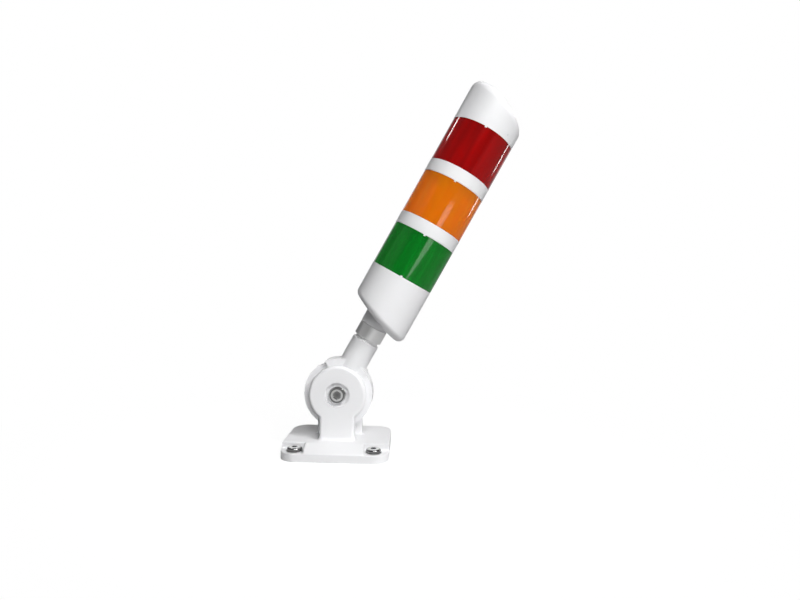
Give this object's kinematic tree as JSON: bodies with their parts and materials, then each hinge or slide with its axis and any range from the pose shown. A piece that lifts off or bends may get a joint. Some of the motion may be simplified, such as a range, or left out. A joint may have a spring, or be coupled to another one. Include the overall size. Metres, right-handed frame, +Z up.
{
  "type": "stack light",
  "caption": "Round stack light with coloured lens tiers on a slanted white housing, carried by a folding knuckle bracket with a screw-down plate.",
  "frame": {"origin": "middle of the bracket plate's underside", "axes": "+Z up from the mounting face, X across the plate and in the plane the tower folds in, with the tower leaning to +X at rest, +Y to the rear along the fold's axis"},
  "size_m": [0.174, 0.066, 0.2831],
  "materials": {
    "white_plastic": "semi-gloss moulded",
    "chromed_steel": "bright chromed",
    "zinc_steel": "zinc plated",
    "friction_disc": "matte",
    "satin_aluminium": "satin turned",
    "inner_plastic": "matte moulded",
    "terminal_plastic": "matte moulded",
    "circuit_board": "white solder mask",
    "led": "glossy",
    "green_lens": "clear moulded",
    "orange_lens": "clear moulded",
    "red_lens": "clear moulded"
  },
  "bodies": {
    "bracket": {"bracket": "white_plastic", "fixing_screws": "chromed_steel", "fixing_washers": "chromed_steel", "pivot_bolt": "chromed_steel", "pivot_washer": "zinc_steel", "pivot_nut": "zinc_steel"},
    "arm": {"knuckle_arm": "white_plastic", "friction_discs": "friction_disc", "pole_collar": "satin_aluminium", "lock_nut": "zinc_steel", "lower_housing": "white_plastic", "housing_screw": "chromed_steel", "base_plate": "inner_plastic", "terminal_block": "terminal_plastic", "green_lens": "green_lens", "orange_lens": "orange_lens", "red_lens": "red_lens", "lower_ring": "white_plastic", "upper_ring": "white_plastic", "top_cap": "white_plastic", "tie_rods": "zinc_steel", "green_board": "circuit_board", "green_led_column": "circuit_board", "green_leds": "led", "orange_board": "circuit_board", "orange_led_column": "circuit_board", "orange_leds": "led", "red_board": "circuit_board", "red_led_column": "circuit_board", "red_leds": "led"}
  },
  "joints": [
    {"name": "fold", "type": "hinge", "parent": "bracket", "child": "arm", "pos_m": [0, 0, 0.045], "axis": [0, 1, 0], "range_deg": [-118.5, 61.5]}
  ]
}
